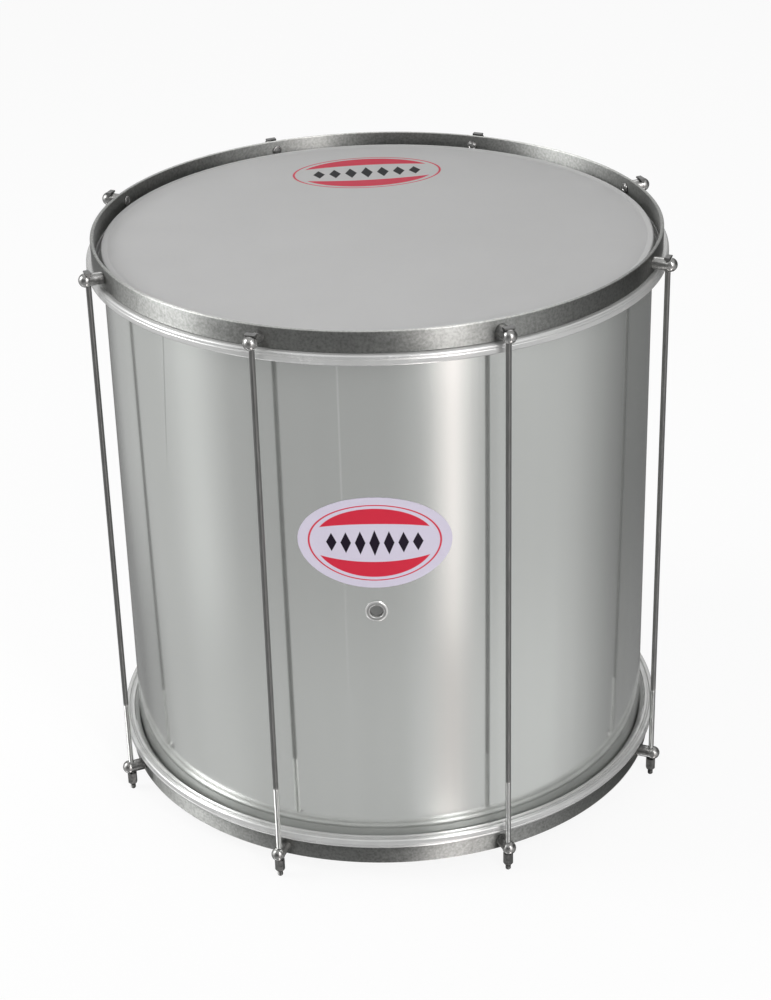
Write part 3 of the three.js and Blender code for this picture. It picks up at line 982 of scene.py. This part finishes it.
def wedge_bar(name, length, extra_height, stand_off, rounding):
    """A bar with a wedge-shaped underside, lying along Y. Its top is at 0."""
    half_width = head_half_width + stand_off / math.cos(wedge_angle)
    tip = -head_crown - half_width / math.tan(wedge_angle)
    outline = [
        (0, tip),
        (half_width, -head_crown),
        (half_width, extra_height - rounding),
        (half_width - rounding, extra_height),
        (rounding - half_width, extra_height),
        (-half_width, extra_height - rounding),
        (-half_width, -head_crown),
    ]
    mesh = bpy.data.meshes.new(name)
    work = bmesh.new()
    ends = []
    for along in (-length / 2, length / 2):
        ends.append([work.verts.new((x, along, z)) for x, z in outline])
    for end in ends:
        work.faces.new(end)
    for index in range(len(outline)):
        after = (index + 1) % len(outline)
        work.faces.new((ends[0][index], ends[0][after], ends[1][after], ends[1][index]))
    bmesh.ops.recalc_face_normals(work, faces=work.faces)
    work.to_mesh(mesh)
    work.free()
    return in_scene(name, mesh)


def turned(tree, geometry, angle):
    """Turns geometry about the drum's axis."""
    return add(tree, "GeometryNodeTransform", {
        "Geometry": geometry,
        "Rotation": add(tree, "ShaderNodeCombineXYZ", {"Z": angle}).outputs[0],
    }).outputs[0]


posts_on_hoop, given = new_tree(
    "posts_on_hoop",
    ("Post", "Object"),
    ("Count", "Int"),
    ("Radius", "Float"),
    ("Height", "Float"),
    ("First azimuth", "Float"),
    ("Material", "Material"),
)
seats = add(posts_on_hoop, "GeometryNodeMeshCircle", {
    "Vertices": given["Count"],
    "Radius": given["Radius"],
})
number = add(posts_on_hoop, "GeometryNodeInputIndex").outputs[0]
facing = calc(posts_on_hoop, "MULTIPLY", number,
              calc(posts_on_hoop, "DIVIDE", 2 * math.pi, given["Count"]))
facing = add(posts_on_hoop, "ShaderNodeCombineXYZ", {"Z": facing}).outputs[0]
one_post = add(posts_on_hoop, "GeometryNodeObjectInfo", {"Object": given["Post"]})
riveted = add(posts_on_hoop, "GeometryNodeInstanceOnPoints", {
    "Points": seats.outputs[0],
    "Instance": one_post.outputs["Geometry"],
    "Rotation": facing,
})
on_hoop = turned(posts_on_hoop, moved(posts_on_hoop, riveted.outputs[0], z=given["Height"]),
                 given["First azimuth"])
end_tree(posts_on_hoop, on_hoop, given["Material"])

post_above_edge = rim_above_edge - hoop_bar_height / 2
for head, side, edge, direction in heads:
    post = post_blank(f"{side}_post")
    if side == "top":
        slot = wedge_bar("head_slot", 4 * ball_radius, 2 * head_crown, seat_gap, 0)
        slot.data.transform(Matrix.Translation((rod_out, 0, ball_radius + head_proud)))
        bored(post, slot)
    posts = made(f"{side}_posts", posts_on_hoop, {
        "Post": post,
        "Count": post_count,
        "Radius": bar_face,
        "Height": edge + direction * post_above_edge,
        "First azimuth": first_azimuth,
        "Material": turned_steel,
    })
    bpy.data.objects.remove(post)
    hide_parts(*(f"{side}_post_{number + 1}" for number in range(post_count)))
    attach(posts, "drum")


# Tension rods: steel wire rods, each with a bar across its head and a rolled thread at its foot.
# A rod hangs by its head in the upper post and is pulled down by its nut.

rod_low, rod_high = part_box("tension_rod_1")
rod_tip = rod_low.z
rod_top = rod_high.z
thread_length = 0.098
thread_pitch = 0.0008
thread_depth = 0.00045
tip_bevel = 0.0007
rod_steps = 20
run_out_turns = 3
thread_crease = 40
dark_tip_height = 0.019
plain_tint = (0.21, 0.211, 0.207, 1)
thread_tint = (0.34, 0.342, 0.336, 1)
tip_tint = (0.12, 0.12, 0.117, 1)
head_tint = (0.2, 0.2, 0.197, 1)

rod_steel, nodes, shader, place = new_material("rod_steel", 1)
wear = grain(nodes, place, 500, 60, 4)
rod_height = add(nodes, "ShaderNodeSeparateXYZ", {0: place}).outputs[2]
threaded = inside_of(nodes, rod_height, rod_tip + thread_length, 0.001)
at_tip = inside_of(nodes, rod_height, dark_tip_height, 0.002)
below_head = inside_of(nodes, rod_height, rod_top - head_crown - 0.001, 0.0005)
steel_colour = mixed(nodes, threaded, plain_tint, thread_tint, "RGBA")
steel_colour = mixed(nodes, at_tip, steel_colour, tip_tint, "RGBA")
steel_colour = mixed(nodes, below_head, head_tint, steel_colour, "RGBA")
finish(nodes, shader, tinted(nodes, steel_colour, spread(nodes, wear, 0.82, 1.15)),
       spread(nodes, wear, 0.26, 0.4))

tension_rod, given = new_tree(
    "tension_rod",
    ("Head", "Object"),
    ("Radius", "Float"),
    ("Tip", "Float"),
    ("Top", "Float"),
    ("Thread length", "Float"),
    ("Pitch", "Float"),
    ("Depth", "Float"),
    ("Tip bevel", "Float"),
    ("Steps", "Int"),
    ("Circle", "Float"),
    ("Azimuth", "Float"),
    ("Material", "Material"),
)
turns = calc(tension_rod, "CEIL", calc(tension_rod, "ADD", 2, calc(
    tension_rod, "DIVIDE", given["Thread length"], given["Pitch"])))
sheet = add(tension_rod, "GeometryNodeMeshGrid", {
    "Size X": 1.0,
    "Size Y": turns,
    "Vertices X": calc(tension_rod, "ADD", given["Steps"], 1),
    "Vertices Y": calc(tension_rod, "ADD", calc(tension_rod, "MULTIPLY", turns, 2), 1),
})
spot = add(tension_rod, "ShaderNodeSeparateXYZ",
           {0: add(tension_rod, "GeometryNodeInputPosition").outputs[0]}).outputs
round_share = calc(tension_rod, "ADD", spot[0], 0.5)
turn_number = calc(tension_rod, "ADD", spot[1], calc(tension_rod, "DIVIDE", turns, 2))
climb = calc(tension_rod, "MULTIPLY", given["Pitch"], calc(
    tension_rod, "SUBTRACT", calc(tension_rod, "ADD", turn_number, round_share), 1))
climb = calc(tension_rod, "MINIMUM", calc(tension_rod, "MAXIMUM", climb, 0),
             given["Thread length"])
halfway = calc(tension_rod, "MULTIPLY", turn_number, 2)
root = calc(tension_rod, "MODULO", calc(tension_rod, "ROUND", halfway), 2)
run_out = calc(tension_rod, "MINIMUM", 1, calc(
    tension_rod, "DIVIDE", calc(tension_rod, "SUBTRACT", given["Thread length"], climb),
    calc(tension_rod, "MULTIPLY", given["Pitch"], run_out_turns)))
cut_in = calc(tension_rod, "MULTIPLY", calc(tension_rod, "MULTIPLY", root, given["Depth"]),
              run_out)
thread_radius = calc(tension_rod, "SUBTRACT", given["Radius"], cut_in)
tip_radius = calc(tension_rod, "SUBTRACT", given["Radius"], given["Tip bevel"])
thread_radius = calc(tension_rod, "MINIMUM", thread_radius,
                     calc(tension_rod, "ADD", tip_radius, climb))
angle = calc(tension_rod, "MULTIPLY", round_share, 2 * math.pi)
wound = add(tension_rod, "GeometryNodeSetPosition", {
    "Geometry": sheet.outputs[0],
    "Position": add(tension_rod, "ShaderNodeCombineXYZ", {
        "X": calc(tension_rod, "MULTIPLY", thread_radius, calc(tension_rod, "COSINE", angle)),
        "Y": calc(tension_rod, "MULTIPLY", thread_radius, calc(tension_rod, "SINE", angle)),
        "Z": climb,
    }).outputs[0],
})
tip_disc = add(tension_rod, "GeometryNodeMeshCircle", {
    "Vertices": given["Steps"],
    "Radius": tip_radius,
}, fill_type="NGON")
plain_length = calc(tension_rod, "SUBTRACT", calc(
    tension_rod, "SUBTRACT", given["Top"], given["Tip"]), given["Thread length"])
plain = add(tension_rod, "GeometryNodeMeshCylinder", {
    "Vertices": given["Steps"],
    "Side Segments": 1,
    "Radius": given["Radius"],
    "Depth": plain_length,
}, fill_type="NONE")
plain_up = moved(tension_rod, plain.outputs["Mesh"], z=calc(
    tension_rod, "ADD", given["Thread length"], calc(tension_rod, "DIVIDE", plain_length, 2)))
top_disc = add(tension_rod, "GeometryNodeMeshCircle", {
    "Vertices": given["Steps"],
    "Radius": given["Radius"],
}, fill_type="NGON")
top_up = moved(tension_rod, top_disc.outputs[0],
               z=calc(tension_rod, "SUBTRACT", given["Top"], given["Tip"]))
rod_head = add(tension_rod, "GeometryNodeObjectInfo", {"Object": given["Head"]})
joined = add(tension_rod, "GeometryNodeJoinGeometry")
for part in (rod_head.outputs["Geometry"], top_up, plain_up, tip_disc.outputs[0],
             wound.outputs[0]):
    tension_rod.links.new(part, joined.inputs[0])
stood = moved(tension_rod, joined.outputs[0], x=given["Circle"], z=given["Tip"])
end_tree(tension_rod, turned(tension_rod, stood, given["Azimuth"]), given["Material"])

head_bar = wedge_bar("head_bar", head_length, 0, 0, head_rounding)
head_bar.data.transform(Matrix.Translation((0, 0, rod_top - rod_tip)))
for number, azimuth in enumerate(post_azimuths, start=1):
    rod = made(f"rod_{number}", tension_rod, {
        "Head": head_bar,
        "Radius": rod_radius,
        "Tip": rod_tip,
        "Top": rod_top - head_crown / 2,
        "Thread length": thread_length,
        "Pitch": thread_pitch,
        "Depth": thread_depth,
        "Tip bevel": tip_bevel,
        "Steps": rod_steps,
        "Circle": rod_circle,
        "Azimuth": azimuth,
        "Material": rod_steel,
    }, crease=thread_crease)
    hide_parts(f"tension_rod_{number}")
    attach(rod, f"rod_{number}")
bpy.data.objects.remove(head_bar)


# Tuning nuts: long steel hexagons, chamfered at both ends and bored. They are run up the rods'
# threads to the lower posts.

nut_low, nut_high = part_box("tuning_nut_1")
nut_length = nut_high.z - nut_low.z
across_flats = 0.008
nut_chamfer_angle = math.radians(30)
chamfer_width = 0.0016
nut_tint = (0.17, 0.17, 0.166)

nut_steel, nodes, shader, place = new_material("nut_steel", 1)
wear = grain(nodes, place, 380, 380, 4)
finish(nodes, shader, tinted(nodes, nut_tint, spread(nodes, wear, 0.65, 1.3)),
       spread(nodes, wear, 0.26, 0.42))

tuning_nut, given = new_tree(
    "tuning_nut",
    ("Chamfers", "Object"),
    ("Across flats", "Float"),
    ("Length", "Float"),
    ("Bore radius", "Float"),
    ("Bottom", "Float"),
    ("Circle", "Float"),
    ("Azimuth", "Float"),
    ("Material", "Material"),
)
hexagon = add(tuning_nut, "GeometryNodeMeshCylinder", {
    "Vertices": 6,
    "Radius": calc(tuning_nut, "DIVIDE", given["Across flats"], 2 * math.cos(math.pi / 6)),
    "Depth": given["Length"],
})
raised = moved(tuning_nut, hexagon.outputs["Mesh"],
               z=calc(tuning_nut, "DIVIDE", given["Length"], 2))
chamfered = add(tuning_nut, "GeometryNodeMeshBoolean", operation="INTERSECT", solver="EXACT")
tuning_nut.links.new(raised, chamfered.inputs["Mesh 2"])
tuning_nut.links.new(
    add(tuning_nut, "GeometryNodeObjectInfo", {"Object": given["Chamfers"]}).outputs["Geometry"],
    chamfered.inputs["Mesh 2"])
drill = add(tuning_nut, "GeometryNodeMeshCylinder", {
    "Vertices": 32,
    "Radius": given["Bore radius"],
    "Depth": calc(tuning_nut, "MULTIPLY", given["Length"], 3),
})
drilled = add(tuning_nut, "GeometryNodeMeshBoolean", {
    "Mesh 1": chamfered.outputs["Mesh"],
    "Mesh 2": drill.outputs["Mesh"],
}, operation="DIFFERENCE", solver="EXACT")
on_rod = moved(tuning_nut, drilled.outputs["Mesh"], x=given["Circle"], z=given["Bottom"])
end_tree(tuning_nut, turned(tuning_nut, on_rod, given["Azimuth"]), given["Material"])

flat_radius = across_flats / 2
chamfer_rise = chamfer_width * math.tan(nut_chamfer_angle)
chamfers = ring("nut_chamfers", [
    (-flat_radius, 0, 0),
    (0, 0, 0),
    (chamfer_width, chamfer_rise, 0),
    (chamfer_width, nut_length - chamfer_rise, 0),
    (0, nut_length, 0),
    (-flat_radius, nut_length, 0),
], flat_radius, 0, nut_steel, steps=96)
for number, azimuth in enumerate(post_azimuths, start=1):
    nut = made(f"nut_{number}", tuning_nut, {
        "Chamfers": chamfers,
        "Across flats": across_flats,
        "Length": nut_length,
        "Bore radius": rod_radius + rod_clearance,
        "Bottom": nut_low.z,
        "Circle": rod_circle,
        "Azimuth": azimuth,
        "Material": nut_steel,
    })
    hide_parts(f"tuning_nut_{number}")
    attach(nut, f"nut_{number}")
bpy.data.objects.remove(chamfers)
